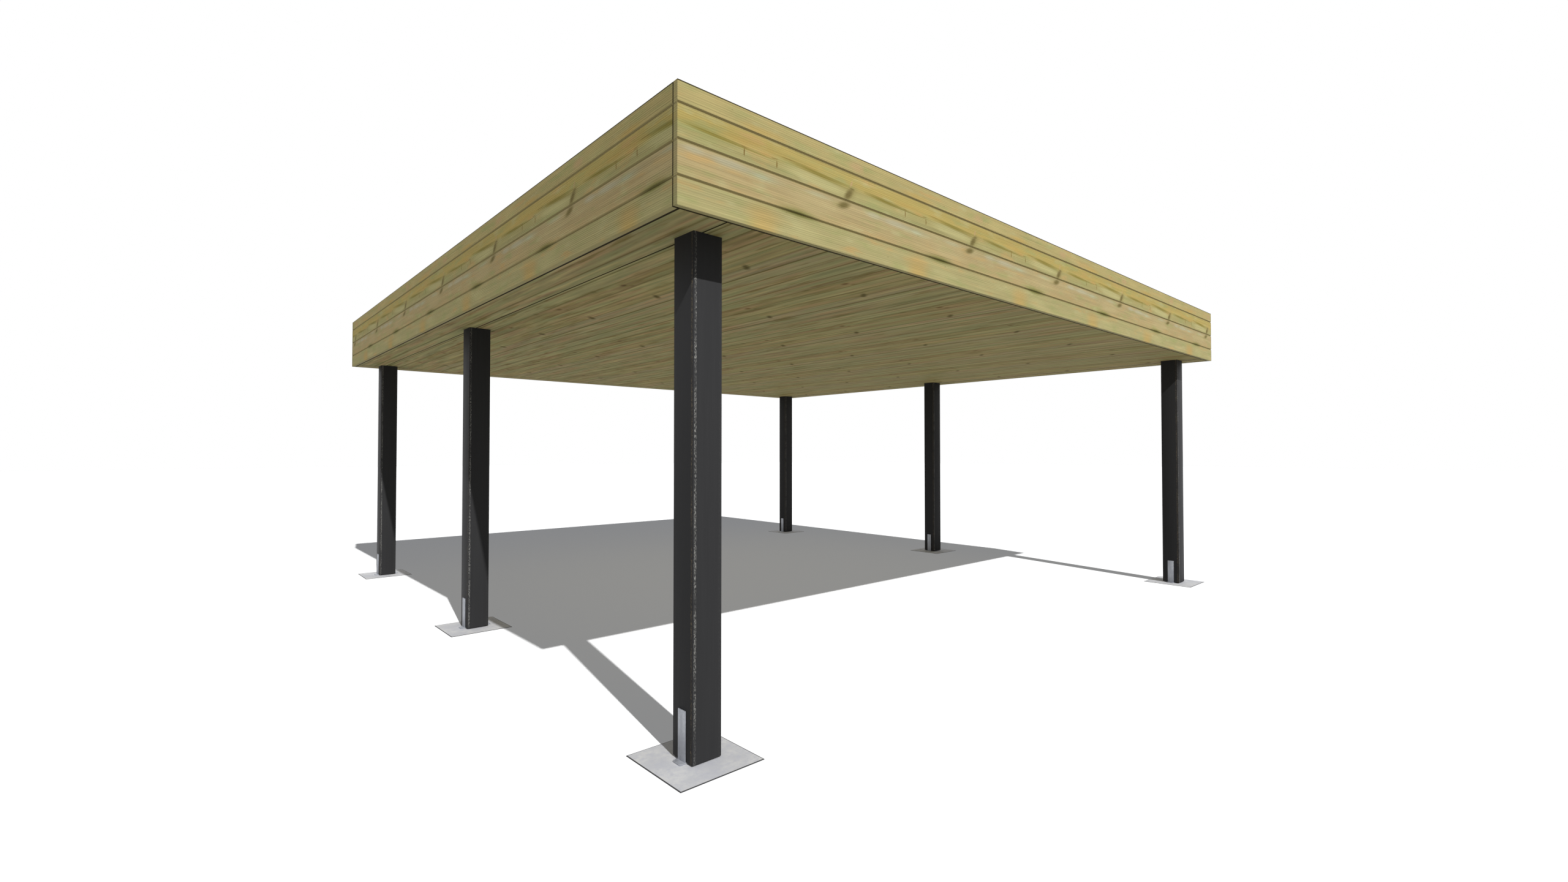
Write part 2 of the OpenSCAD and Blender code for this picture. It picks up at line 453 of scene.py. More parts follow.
# (middle, half size, turn, core, colour, amount): along and up the board, in metres
FASCIA_MARKS = [
    ((0.400, 2.200), (0.140, 0.070), 0, 0.1, RUST, 0.6),
    ((0.400, 2.140), (0.120, 0.070), 0, 0.1, HONEY, 0.7),
    ((0.120, 2.555), (0.120, 0.045), 0, 0.1, STRAW, 0.5),
    ((0.950, 2.555), (0.080, 0.035), 0, 0.1, BLUSH, 0.7),
    ((0.400, 2.535), (0.180, 0.022), 0, 0.1, AMBER, 0.7),
    ((0.700, 2.425), (0.240, 0.032), -2, 0.4, CREAM, 0.75),
    ((0.680, 2.320), (0.190, 0.060), 0, 0.4, PEACH, 0.6),
    ((0.910, 2.425), (0.070, 0.040), 50, 0.1, DUSK, 0.6),
    ((0.850, 2.362), (0.090, 0.022), 15, 0.1, DUSK, 0.5),
    ((0.410, 2.452), (0.070, 0.015), 0, 0.1, RUST, 0.8),
    ((0.390, 2.358), (0.150, 0.026), 0, 0.1, PALE, 0.5),
    ((0.390, 2.356), (0.060, 0.011), 0, 0.2, PALE, 0.9),
    ((0.700, 2.366), (0.120, 0.016), 0, 0.1, PALE, 0.5),
    ((0.230, 2.362), (0.150, 0.022), 0, 0.2, ASH, 0.8),
    ((0.070, 2.364), (0.080, 0.020), 0, 0.2, ASH, 0.7),
    ((0.620, 2.192), (0.150, 0.048), 0, 0.2, CREAM, 0.45),
    ((0.340, 2.466), (0.190, 0.024), 0, 0.2, AMBER, 0.55),
    ((0.590, 2.262), (0.170, 0.030), 0, 0.0, MOSS, 0.7),
    ((0.706, 2.454), (0.270, 0.017), -3, 0.0, OLIVE, 0.85),
    ((0.150, 2.450), (0.220, 0.015), -2, 0.0, OLIVE, 0.85),
    ((0.250, 2.446), (0.260, 0.007), -1, 0.4, OLIVE, 0.6),
    ((0.750, 2.459), (0.250, 0.006), -2, 0.4, OLIVE, 0.5),
    ((0.913, 2.470), (0.008, 0.026), -22, 0.2, BLUSH, 0.8),
    ((0.302, 2.428), (0.0040, 0.020), 0, 0.5, CHECK, 0.85),
    ((0.469, 2.428), (0.0040, 0.020), 0, 0.5, CHECK, 0.85),
    ((0.300, 2.448), (0.020, 0.0026), -4, 0.4, CHECK, 0.6),
    ((0.458, 2.448), (0.024, 0.0026), 4, 0.4, CHECK, 0.6),
    ((0.530, 2.467), (0.050, 0.0024), 0, 0.4, CHECK, 0.5),
    ((0.918, 2.447), (0.022, 0.0035), 0, 0.4, KNOT, 0.9),
    ((0.893, 2.417), (0.056, 0.025), 46, 0.2, KNOT, 0.95),
    ((0.862, 2.362), (0.058, 0.021), 14, 0.2, KNOT, 0.95),
]
# this one lies over a joint, so it is laid after the joints are shaded
JOINT_MARKS = [((0.590, JOINTS[2]), (0.160, 0.015), 0, 0.1, DAMP, 0.75)]
print(len(FASCIA_MARKS) + len(JOINT_MARKS), "marks on each metre of fascia")

# %% Fascia colour
DRIFT_SIZE = (0.24, 0.055, 0.3)
WASH_SIZE = (0.17, 0.045, 0.2)
# (noise where a patch starts, noise where it is full, amount, colour)
DRIFTS = [(0.48, 0.72, 0.7, paint(162, 164, 107)), (0.46, 0.26, 0.7, paint(197, 164, 107))]
WASHES = [(0.52, 0.74, 0.5, paint(191, 186, 136))]
CONTRASTS = [("Streaks", 0.42, 0.79), ("Ribs", 0.36, 0.82), ("Fibres", 0.16, 0.92)]
# how far the unevenness of the wood pushes the outlines of the marks
SHAKE = 0.007
WOBBLE = 0.012
# pin knots: cells per metre along and across, and the knot's edge and core as shares of a cell
PIN_CELLS = (9.0, 24.0)
PIN_EDGE = 0.055
PIN_CORE = 0.030
PIN_AMOUNT = 0.6


def fascia_colour(tree, places, grain, mirrored):
    """The boards' colour before their joints, and the place that marks are laid by."""
    along, across = places[:2]
    colour = ramp(tree, share_between(tree, across, FASCIA_LOW, FASCIA_HIGH), ROW_TINTS)
    drift = board_noise(tree, places, DRIFT_SIZE, detail=3.0)
    colour = patches(tree, colour, drift, DRIFTS)
    colour = patches(tree, colour, board_noise(tree, places, WASH_SIZE, detail=3.0), WASHES)
    from_start = calc(tree, "SUBTRACT", SIDE_SHIFT, along) if mirrored else along
    around = calc(tree, "FLOORED_MODULO", from_start, MARK_PITCH)
    wobbly = calc(tree, "MULTIPLY_ADD", calc(tree, "SUBTRACT", drift, 0.5), WOBBLE, around)
    shaky = calc(tree, "MULTIPLY_ADD", calc(tree, "SUBTRACT", grain["Streaks"], 0.5), SHAKE, across)
    marked = add(tree, "ShaderNodeCombineXYZ", {"X": wobbly, "Y": 0.0, "Z": shaky}).outputs[0]
    colour = lay_marks(tree, colour, marked, FASCIA_MARKS)
    cell_along = calc(tree, "MULTIPLY", along, PIN_CELLS[0])
    cell_across = calc(tree, "MULTIPLY", across, PIN_CELLS[1])
    cell = add(tree, "ShaderNodeCombineXYZ", {"X": cell_along, "Y": 0.5, "Z": cell_across}).outputs[0]
    pin = add(tree, "ShaderNodeTexVoronoi", {"Vector": cell, "Scale": 1.0}).outputs["Distance"]
    colour = patches(tree, colour, pin, [(PIN_EDGE, PIN_CORE, PIN_AMOUNT, KNOT)])
    return grained(tree, colour, grain, CONTRASTS), marked


print("each board colour has", len(ROW_TINTS), "tints and", len(CONTRASTS), "kinds of grain")

# %% [markdown]
# ### Joints and edges of the fascia
#
# A real joint is dark because little light gets in. Painted shade adds to it
# here: a tint over each V, deepest on its lower face, which faces up into the
# sun, and lines of painted shade beside the gaps at the ceiling and corners.
# All these lines are masks beside an edge that is known from the CAD model, so
# they need no drawing by hand.

# %% Fascia joints and edges
GROOVE = 0.0055
CORNER_GAP = 0.0015
# painted shade in the V joints: a tint over the whole V, and a deeper one on its lower face
SHADED = paint(180, 166, 116)
LOWER_FACE_SHADE = paint(120, 109, 72)
# painted shade beside the gaps at the corners and the ceiling and along the ceiling seams; also the colour
# of the dark arrises
GAP_DARK = paint(40, 34, 18)
UNDERSIDE = paint(184, 174, 126)
END_GRAIN = paint(170, 160, 114)
# how far from its edge each line starts, and how far from it the line is full: less than 0 is past it
GROOVE_LINE = (0.0025, -0.0030)
LOWER_SHADE_LINE = (0.0006, -0.0006)
FACE_LINE = (0.0012, 0.0004)
CEILING_LINE = (0.0082, 0.0070)
CORNER_LINE = (0.0030, 0.0020)
END_LINE = (0.0040, 0.0028)
TOP_LINE = (0.0055, 0.0042)
# how much of its own tint a face shows, and how dark the arrises are
FACE_AMOUNT = 0.5
ARRIS_AMOUNT = 0.95


def fascia_joints(tree, colour, across):
    """Paints shade into the V joints, deepest on their lower faces, which face up into the sun."""
    for joint in JOINTS:
        above = calc(tree, "SUBTRACT", across, joint)
        upper = near(tree, above, GROOVE, GROOVE_LINE, 1)
        lower = near(tree, above, -GROOVE, GROOVE_LINE, -1)
        colour = tone(tree, calc(tree, "MULTIPLY", upper, lower), colour, SHADED)
        lower_shade_mask = near(tree, above, 0.0, LOWER_SHADE_LINE, 1)
        colour = tone(tree, calc(tree, "MULTIPLY", lower_shade_mask, lower), colour, LOWER_FACE_SHADE)
    return colour


def fascia_edges(tree, colour, axes, runs_along, runs_through):
    """Tints the undersides and cut ends, paints shade beside the corner and ceiling joints, and darkens
    two arrises.
    """
    outer = cad_box[1].x
    inner = outer - FASCIA_THICK
    from_middle = calc(tree, "ABSOLUTE", axes[runs_along])
    depth = calc(tree, "ABSOLUTE", axes[runs_through])
    under = near(tree, axes["Z"], FASCIA_LOW, FACE_LINE, 1)
    colour = tone(tree, calc(tree, "MULTIPLY", under, FACE_AMOUNT), colour, UNDERSIDE)
    # painted shade beside the gap where the ceiling meets the fascia, and below, beside the gap at each
    # corner
    ceiling_joint = calc(tree, "MULTIPLY", under, near(tree, depth, inner, CEILING_LINE, 1))
    colour = tone(tree, ceiling_joint, colour, GAP_DARK)
    if runs_along == "X":
        cut_end = near(tree, from_middle, outer, FACE_LINE, -1)
        colour = tone(tree, calc(tree, "MULTIPLY", cut_end, FACE_AMOUNT), colour, END_GRAIN)
        corner_joint = calc(tree, "MULTIPLY", cut_end, near(tree, depth, inner, CORNER_LINE, 1))
    else:
        corner_joint = near(tree, from_middle, inner - CORNER_GAP, CORNER_LINE, -1)
    colour = tone(tree, corner_joint, colour, GAP_DARK)
    outside = near(tree, depth, outer, END_LINE, -1)
    top = near(tree, axes["Z"], FASCIA_HIGH, TOP_LINE, -1)
    far_half = calc(tree, "GREATER_THAN", axes[runs_along], 0.0)
    far_end = calc(tree, "MULTIPLY", near(tree, from_middle, outer, END_LINE, -1), far_half)
    arrises = calc(tree, "MULTIPLY", outside, calc(tree, "MAXIMUM", top, far_end))
    return tone(tree, calc(tree, "MULTIPLY", arrises, ARRIS_AMOUNT), colour, GAP_DARK)


print("fascia boards are", round(FASCIA_THICK * 1000), "mm thick")

# %% [markdown]
# ### The fascia material
#
# The material comes from a function, as boards along X and boards along Y need
# the same pattern turned by a right angle. On the side boards the marks are
# counted the other way, as if each board were turned end for end.

# %% Fascia wood material
def fascia_wood(name, runs_along, runs_through):
    """Pine for the boards of the roof edge, whose length lies along one axis."""
    made, tree, shader, place = material(name)
    axes = split(tree, place)
    along = calc(tree, "ADD", axes[runs_along], cad_box[1].x)
    places = (along, axes["Z"], axes[runs_through])
    grain = grain_of(tree, *places)
    colour, marked = fascia_colour(tree, places, grain, mirrored=runs_along == "Y")
    colour = fascia_joints(tree, colour, axes["Z"])
    colour = lay_marks(tree, colour, marked, JOINT_MARKS)
    colour = fascia_edges(tree, colour, axes, runs_along, runs_through)
    rough = between(tree, grain["Streaks"], 0.62, 0.82)
    finish_shader(tree, shader, colour, rough, grain["Height"], distance=0.0006)
    shader.inputs["Specular IOR Level"].default_value = 0.05
    return made


fascia_x = fascia_wood("fascia_wood_x", "X", "Y")
fascia_y = fascia_wood("fascia_wood_y", "Y", "X")
print("fascia wood has", len(fascia_x.node_tree.nodes), "nodes")

# %% [markdown]
# ## Ceiling wood
#
# The ceiling boards are the same pine, planed and grooved. Eight tints follow
# each other from board to board and then start again, and each groove gets
# painted shade, darker in some grooves than in others. Two tables hold these
# values, and a constant ramp deals them out. Knots cross the boards at an even
# step. The boards run along Y, except for the strip at the back, whose boards
# run along X. The seams round the ceiling get painted shade too.

# %% Ceiling layout
# the step from groove to groove, and where the first one lies across the boards
BOARD_PITCH = 0.1047
FIRST_GROOVE = -2.734
CEILING_LOW, CEILING_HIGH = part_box("ceiling")
SOFFIT_LOW, SOFFIT_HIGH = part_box("soffit_sides")
# half widths of the painted shade along the seams: the far ones are painted wider
SEAM_NEAR = 0.005
SEAM_FAR = 0.009
SEAMS = [
    (CEILING_LOW.x, "X", SEAM_NEAR), (SOFFIT_LOW.x, "X", SEAM_NEAR), (CEILING_LOW.y, "Y", SEAM_NEAR),
    (CEILING_HIGH.x, "X", SEAM_FAR), (SOFFIT_HIGH.x, "X", SEAM_FAR), (CEILING_HIGH.y, "Y", SEAM_FAR),
    (-CEILING_LOW.y, "Y", SEAM_FAR),
]
CEILING_TINTS = [
    paint(178, 169, 118), paint(163, 147, 96), paint(185, 172, 118), paint(177, 162, 108),
    paint(179, 164, 121), paint(180, 169, 122), paint(174, 161, 113), paint(176, 168, 119),
]
# how much painted shade each groove of a cycle gets
GROOVE_SHADE_AMOUNTS = [0.62, 0.50, 0.52, 0.38, 0.42, 0.90, 0.25, 0.62]
CYCLE = len(CEILING_TINTS) * BOARD_PITCH


def board_by_board(tree, value, colours):
    """Deals out a cycle's colours, one for each board or groove."""
    stops = [(number / len(colours), colour) for number, colour in enumerate(colours)]
    return ramp(tree, calc(tree, "DIVIDE", value, CYCLE), stops, "CONSTANT")


print("tints start again every", round(CYCLE, 3), "m")

# %% Ceiling colour
KNOT_STEP = 0.800
CEILING_DRIFT_SIZE = (0.55, 0.050, 0.3)
CEILING_WASH_SIZE = (0.35, 0.034, 0.2)
CEILING_DRIFTS = [(0.48, 0.66, 0.75, paint(164, 163, 111)), (0.50, 0.34, 0.75, paint(184, 155, 111))]
CEILING_WASHES = [(0.54, 0.70, 0.7, paint(196, 181, 124)), (0.44, 0.30, 0.8, paint(146, 129, 76))]
CEILING_CONTRASTS = [("Streaks", 1.4, 0.285), ("Ribs", 0.16, 0.92), ("Fibres", 0.16, 0.92)]
# as on the fascia, but the middle and half size are (across, along) from the first knot
CEILING_MARKS = [
    ((0.416, 0.460), (0.064, 0.027), 41, 0.1, paint(100, 90, 50), 0.95),
    ((0.438, 0.482), (0.024, 0.026), 0, 0.1, paint(104, 92, 52), 0.6),
    ((0.158, 0.362), (0.024, 0.038), 0, 0.1, paint(112, 88, 48), 0.9),
    ((0.196, 0.335), (0.016, 0.026), 30, 0.1, paint(124, 104, 60), 0.7),
    ((0.108, 0.600), (0.022, 0.042), 0, 0.1, paint(112, 104, 56), 0.6),
]


def ceiling_colour(tree, places, grain):
    """The boards' tints, patches, knots and grain."""
    along, across = places[:2]
    round_across = calc(tree, "FLOORED_MODULO", across, CYCLE)
    round_along = calc(tree, "FLOORED_MODULO", along, KNOT_STEP)
    colour = board_by_board(tree, round_across, CEILING_TINTS)
    drift = board_noise(tree, places, CEILING_DRIFT_SIZE, detail=2.0)
    colour = patches(tree, colour, drift, CEILING_DRIFTS)
    wash = board_noise(tree, places, CEILING_WASH_SIZE, detail=2.0)
    colour = patches(tree, colour, wash, CEILING_WASHES)
    marked = add(tree, "ShaderNodeCombineXYZ", {"X": round_across, "Y": 0.0, "Z": round_along}).outputs[0]
    colour = lay_marks(tree, colour, marked, CEILING_MARKS)
    return grained(tree, colour, grain, CEILING_CONTRASTS)


print(len(CEILING_MARKS), "marks in each", KNOT_STEP, "m of a cycle of boards")

# %% Ceiling joints
GROOVE_SHADE_TINT = paint(120, 111, 62)
GROOVE_REACH = (0.0120, 0.0020)
SEAM_SOFTNESS = 0.0015
SEAM_AMOUNT = 0.92


def ceiling_joints(tree, colour, across, axes):
    """Paints shade into the grooves between boards, and beside the seams round the ceiling."""
    in_board = calc(tree, "FLOORED_MODULO", across, BOARD_PITCH)
    from_edge = calc(tree, "MINIMUM", in_board, calc(tree, "SUBTRACT", BOARD_PITCH, in_board))
    groove = fade(tree, from_edge, *GROOVE_REACH)
    around = calc(tree, "FLOORED_MODULO", calc(tree, "ADD", across, BOARD_PITCH / 2), CYCLE)
    # each groove's amount of painted shade, dealt out board by board
    groove_shade = board_by_board(tree, around, [(depth, depth, depth, 1.0) for depth in GROOVE_SHADE_AMOUNTS])
    colour = tone(tree, calc(tree, "MULTIPLY", groove, groove_shade), colour, GROOVE_SHADE_TINT)
    for seam, axis, half_width in SEAMS:
        from_seam = calc(tree, "ABSOLUTE", calc(tree, "SUBTRACT", axes[axis], seam))
        gap = fade(tree, from_seam, half_width, half_width - SEAM_SOFTNESS)
        colour = tone(tree, calc(tree, "MULTIPLY", gap, SEAM_AMOUNT), colour, GAP_DARK)
    return colour


print("seams round the ceiling:", len(SEAMS))

# %% Ceiling wood material
def ceiling_wood(name, runs_along, runs_across):
    """Pine for the boards under the roof."""
    made, tree, shader, place = material(name)
    axes = split(tree, place)
    along = calc(tree, "ADD", axes[runs_along], cad_box[1].y)
    across = calc(tree, "SUBTRACT", axes[runs_across], FIRST_GROOVE - CYCLE)
    grain = grain_of(tree, along, across, axes["Z"])
    colour = ceiling_colour(tree, (along, across, axes["Z"]), grain)
    colour = ceiling_joints(tree, colour, across, axes)
    rough = between(tree, grain["Streaks"], 0.6, 0.8)
    finish_shader(tree, shader, colour, rough, grain["Fibres"], distance=0.0004)
    shader.inputs["Specular IOR Level"].default_value = 0.02
    return made


ceiling_y = ceiling_wood("ceiling_wood_y", "Y", "X")
ceiling_x = ceiling_wood("ceiling_wood_x", "X", "Y")
print("ceiling wood has", len(ceiling_y.node_tree.nodes), "nodes")

# %% [markdown]
# ## Black post paint
#
# The posts are laminated timber under satin black paint. The paint has worn
# through to grey specks in two thin lines beside the front left edge of each
# post, and hardly at all beside the others. Six posts share one material, so
# a point is first measured from the middle of its own post. The mask for the
# wear then says how far it is from those lines.

# %% Places on a post or a pad
POST_LOW, POST_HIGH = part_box("post_right_middle")
POST_X = (POST_LOW.x + POST_HIGH.x) / 2
POST_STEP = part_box("post_right_back")[0].y - POST_LOW.y
POST_HALF = (POST_HIGH.x - POST_LOW.x) / 2
# each of a row's three posts has one step of it, so the row starts this many steps before its middle
STEPS_BEFORE = 1.5


def from_own_middle(tree, axes, row_x, step):
    """How far a point is, along X and Y, from the middle of the post or pad it is on."""
    right_row = calc(tree, "GREATER_THAN", axes["X"], 0.0)
    middle_x = calc(tree, "MULTIPLY_ADD", right_row, 2 * row_x, -row_x)
    counted = calc(tree, "ADD", axes["Y"], step * STEPS_BEFORE)
    local_y = calc(tree, "SUBTRACT", calc(tree, "FLOORED_MODULO", counted, step), step / 2)
    return calc(tree, "SUBTRACT", axes["X"], middle_x), local_y


print("posts stand", round(POST_STEP, 3), "m apart in their rows")

# %% Post paint material
# how far from the post's edge a line of wear runs, and how it fades to its sides and into the post
WEAR_INSET = 0.010
WEAR_LINE = (0.0070, 0.0035)
WEAR_FACE = (0.004, 0.002)
# how much of that wear the sheltered edges have
SHELTERED = 0.04

post_paint, tree, shader, place = material("post_paint")
axes = split(tree, place)
local_x, local_y = from_own_middle(tree, axes, POST_X, POST_STEP)
from_x, from_y = calc(tree, "ABSOLUTE", local_x), calc(tree, "ABSOLUTE", local_y)
left, front = calc(tree, "LESS_THAN", local_x, 0.0), calc(tree, "LESS_THAN", local_y, 0.0)
weathered = calc(tree, "MULTIPLY", left, front)
lines = []
for one, other in ((from_x, from_y), (from_y, from_x)):
    from_line = calc(tree, "ABSOLUTE", calc(tree, "SUBTRACT", one, POST_HALF - WEAR_INSET))
    on_face = near(tree, other, POST_HALF, WEAR_FACE, -1)
    lines.append(calc(tree, "MULTIPLY", fade(tree, from_line, *WEAR_LINE), on_face))
worn = calc(tree, "MAXIMUM", *lines)
flakes = drawn_up(tree, axes, share=0.30)
speck = noise(tree, flakes, scale=300.0, detail=3.0, roughness=0.7)
speck = fade(tree, speck, start=0.46, end=0.62)
patch = noise(tree, flakes, scale=30.0, detail=2.0)
patch = fade(tree, patch, start=0.36, end=0.60, low=0.25)
speck = calc(tree, "MULTIPLY", speck, between(tree, weathered, SHELTERED, 1.0))
wear = calc(tree, "MULTIPLY", worn, calc(tree, "MULTIPLY", speck, patch))
laminate = noise(tree, drawn_up(tree, axes, share=0.04), scale=60.0, detail=4.0, roughness=0.6)
colour = tone(tree, laminate, paint(53, 53, 54), paint(60, 60, 61))
# the bare specks are light grey on the sunlit front face and brown-grey on the left face: partly their own
# colour, partly painted light and shade
bare_with_painted_light = tone(tree, calc(tree, "LESS_THAN", from_y, from_x), paint(162, 161, 156), paint(116, 105, 88))
colour = tone(tree, wear, colour, bare_with_painted_light)
rough = between(tree, laminate, 0.42, 0.62)
finish_shader(tree, shader, colour, rough, laminate, distance=0.0004)
shader.inputs["Specular IOR Level"].default_value = 0.03
print("post paint has", len(tree.nodes), "nodes")

# %% [markdown]
# ## Galvanised steel and concrete
#
# Hot-dip zinc dulls to a blue-grey with faint crystals and runs, so it is
# only partly metallic and rather rough. The pads are pale, smooth concrete
# with a soft marbling of light and dark, and fine pores. A near-black line of
# painted shade runs round the top of each pad, beside its edge, where it meets
# the floor.

# %% Galvanised steel material
galvanised, tree, shader, place = material("galvanised")
crystal = add(tree, "ShaderNodeTexVoronoi", {"Vector": place, "Scale": 160.0}).outputs["Color"]
crystal = add(tree, "ShaderNodeSeparateColor", {0: crystal}).outputs[0]
runs = noise(tree, drawn_up(tree, split(tree, place), share=0.25), scale=40.0, detail=3.0)
colour = tone(tree, crystal, paint(160, 163, 170), paint(176, 179, 185))
colour = patches(tree, colour, runs, [(0.35, 0.65, 0.5, paint(136, 139, 148))])
rough = between(tree, crystal, 0.46, 0.58)
finish_shader(tree, shader, colour, rough, runs, distance=0.0003)
shader.inputs["Metallic"].default_value = 0.45
print("galvanised has", len(tree.nodes), "nodes")

# %% Concrete material
PAD_LOW, PAD_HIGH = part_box("pad_right_back")
PAD_MIDDLE = (PAD_LOW + PAD_HIGH) / 2
PAD_HALF = (PAD_HIGH.x - PAD_LOW.x) / 2
# the near-black painted shade round the top of each pad, beside its edge
EDGE_SHADE_LINE = (0.0062, 0.0052)
EDGE_SHADE_AMOUNT = 0.95
PORE_AMOUNT = 0.3

concrete, tree, shader, place = material("concrete")
marble = noise(tree, place, scale=9.0, detail=5.0, roughness=0.6)
mottle = noise(tree, place, scale=38.0, detail=4.0, roughness=0.65)
pores = fade(tree, noise(tree, place, scale=420.0, detail=2.0), start=0.66, end=0.72)
colour = patches(tree, paint(196, 197, 201), marble, [(0.36, 0.64, 1.0, paint(212, 212, 212))])
colour = patches(tree, colour, mottle, [(0.42, 0.68, 0.7, paint(190, 191, 199))])
colour = tone(tree, calc(tree, "MULTIPLY", pores, PORE_AMOUNT), colour, paint(150, 150, 150))
local_x, local_y = from_own_middle(tree, split(tree, place), PAD_MIDDLE.x, PAD_MIDDLE.y)
reach = calc(tree, "MAXIMUM", calc(tree, "ABSOLUTE", local_x), calc(tree, "ABSOLUTE", local_y))
edge_shade = near(tree, reach, PAD_HALF, EDGE_SHADE_LINE, -1)
colour = tone(tree, calc(tree, "MULTIPLY", edge_shade, EDGE_SHADE_AMOUNT), colour, paint(30, 30, 31))
rough = between(tree, mottle, 0.72, 0.87)
finish_shader(tree, shader, colour, rough, calc(tree, "SUBTRACT", mottle, pores), distance=0.0004)
print("concrete has", len(tree.nodes), "nodes")

# %% [markdown]
# ## Roof membrane, plywood and frame timber
#
# A black rubber sheet lies over the deck and up the rims. Dust greys it, most
# of all where water stands and dries. Under it are plywood and rough sawn
# pine, which the boards hide, but they have their own finish all the same.
# Their CAD solids have the right shape, so they only get a new material.

# %% Membrane material
membrane, tree, shader, place = material("membrane")
puddle = noise(tree, place, scale=0.7, detail=2.0, roughness=0.5)
dust = noise(tree, place, scale=12.0, detail=5.0, roughness=0.7)
puddle = fade(tree, puddle, start=0.30, end=0.75)
amount = calc(tree, "MULTIPLY", puddle, fade(tree, dust, start=0.25, end=0.75, low=0.4))
colour = tone(tree, amount, paint(50, 51, 52), paint(80, 79, 77))
rough = between(tree, amount, 0.58, 0.83)
finish_shader(tree, shader, colour, rough, dust, distance=0.0008)
print("membrane has", len(tree.nodes), "nodes")

# %% Plywood and frame timber materials
deck_board, tree, shader, place = material("deck_board")
axes = split(tree, place)
grain = grain_of(tree, axes["X"], axes["Y"], axes["Z"])
colour = tone(tree, grain["Streaks"], paint(196, 168, 124), paint(172, 140, 96))
rough = between(tree, grain["Fibres"], 0.6, 0.8)
finish_shader(tree, shader, colour, rough, grain["Fibres"], distance=0.0004)


def frame_wood(name, runs_along, runs_across, runs_through):
    """Rough sawn pine for the hidden frame."""
    made, tree, shader, place = material(name)
    axes = split(tree, place)
    grain = grain_of(tree, axes[runs_along], axes[runs_across], axes[runs_through])
    colour = tone(tree, grain["Streaks"], paint(206, 182, 134), paint(176, 146, 98))
    rough = between(tree, grain["Fibres"], 0.65, 0.85)
    finish_shader(tree, shader, colour, rough, grain["Height"], distance=0.0006)
    return made


frame_x = frame_wood("frame_wood_x", "X", "Z", "Y")
frame_y = frame_wood("frame_wood_y", "Y", "Z", "X")
HIDDEN = {"beams": frame_y, "joists": frame_x, "rim_front": frame_x, "rim_back": frame_x,
          "rim_left": frame_y, "rim_right": frame_y, "roof_deck": deck_board}
for name, finish in HIDDEN.items():
    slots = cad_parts[name].data.materials
    slots.clear()
    slots.append(finish)
print("hidden nodes painted:", len(HIDDEN))

# %% [markdown]
# ## Helpers for pieces
#
# Nearly everything in a carport is a straight length of timber, so most
# pieces start as a cube from `create_cube`, stretched to the box of its CAD
# node, and get their shape from bevels. Bevels matter: an edge that isn't
# quite sharp catches a thin line of light, and tells the eye how big it is.

# %% Helpers that shape a mesh
X_AXIS, Y_AXIS, Z_AXIS = 0, 1, 2
# two places closer than this are the same one
TOUCH = 1e-5
SHARP = math.radians(60)


def block(shape, low, high):
    """Adds a box to a bmesh and gives its new vertices."""
    low, high = Vector(low), Vector(high)
    stretch = Matrix.Diagonal((*(high - low), 1.0))
    place = Matrix.Translation((low + high) / 2) @ stretch
    return bmesh.ops.create_cube(shape, size=1.0, matrix=place)["verts"]


def ease(shape, edges, size, segments=1):
    """Bevels edges by size."""
    return bmesh.ops.bevel(shape, geom=list(edges), offset=size, segments=segments, profile=0.5,
                           affect="EDGES", material=-1)


def edges_of(verts):
    """The edges between the vertices of one block."""
    inside = set(verts)
    return [edge for edge in {e for v in verts for e in v.link_edges} if set(edge.verts) <= inside]


def upright(edges):
    """The edges whose two ends differ in height."""
    return [e for e in edges if abs(e.verts[0].co.z - e.verts[1].co.z) > TOUCH]


def lies_at(edge, axis, value):
    """Whether both ends of an edge have this value on an axis."""
    return all(abs(v.co[axis] - value) < TOUCH for v in edge.verts)


def sharp_edges(shape):
    """The edges whose faces meet at a sharp angle."""
    return [e for e in shape.edges if e.is_manifold and e.calc_face_angle() > SHARP]


print("edges count as sharp over", round(math.degrees(SHARP)), "degrees")

# %% From a mesh to a piece
def piece(name, shape, finish, slot, *nodes, smooth=0):
    """
    Turns a bmesh into a finished piece that stands for some CAD nodes. Faces
    that meet at less than smooth degrees are shaded as one.
    """
    mesh = bpy.data.meshes.new(name)
    bmesh.ops.recalc_face_normals(shape, faces=shape.faces)
    shape.to_mesh(mesh)
    shape.free()
    mesh.materials.append(finish)
    made = bpy.data.objects.new(name, mesh)
    bpy.context.scene.collection.objects.link(made)
    if smooth:
        mesh.shade_smooth()
        mesh.set_sharp_from_angle(angle=math.radians(smooth))
    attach(made, "root")
    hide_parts(*nodes)
    return made


# %% [markdown]
# ## Fascia boards
#
# Four rows go round the roof. The front and back boards run over the ends of
# the side boards. Where two rows meet, both edges are chamfered, so that the
# joint is a small V, which its shape and painted shade in the wood keep dark.
# The side boards stop a millimetre and a half short of the front and back
# ones, as a joiner would leave them, and that gap, with painted shade beside
# it, draws the upright line at each corner.

# %% Fascia boards
ARRIS = 0.0012
SIDES = {"front": Y_AXIS, "back": Y_AXIS, "left": X_AXIS, "right": X_AXIS}


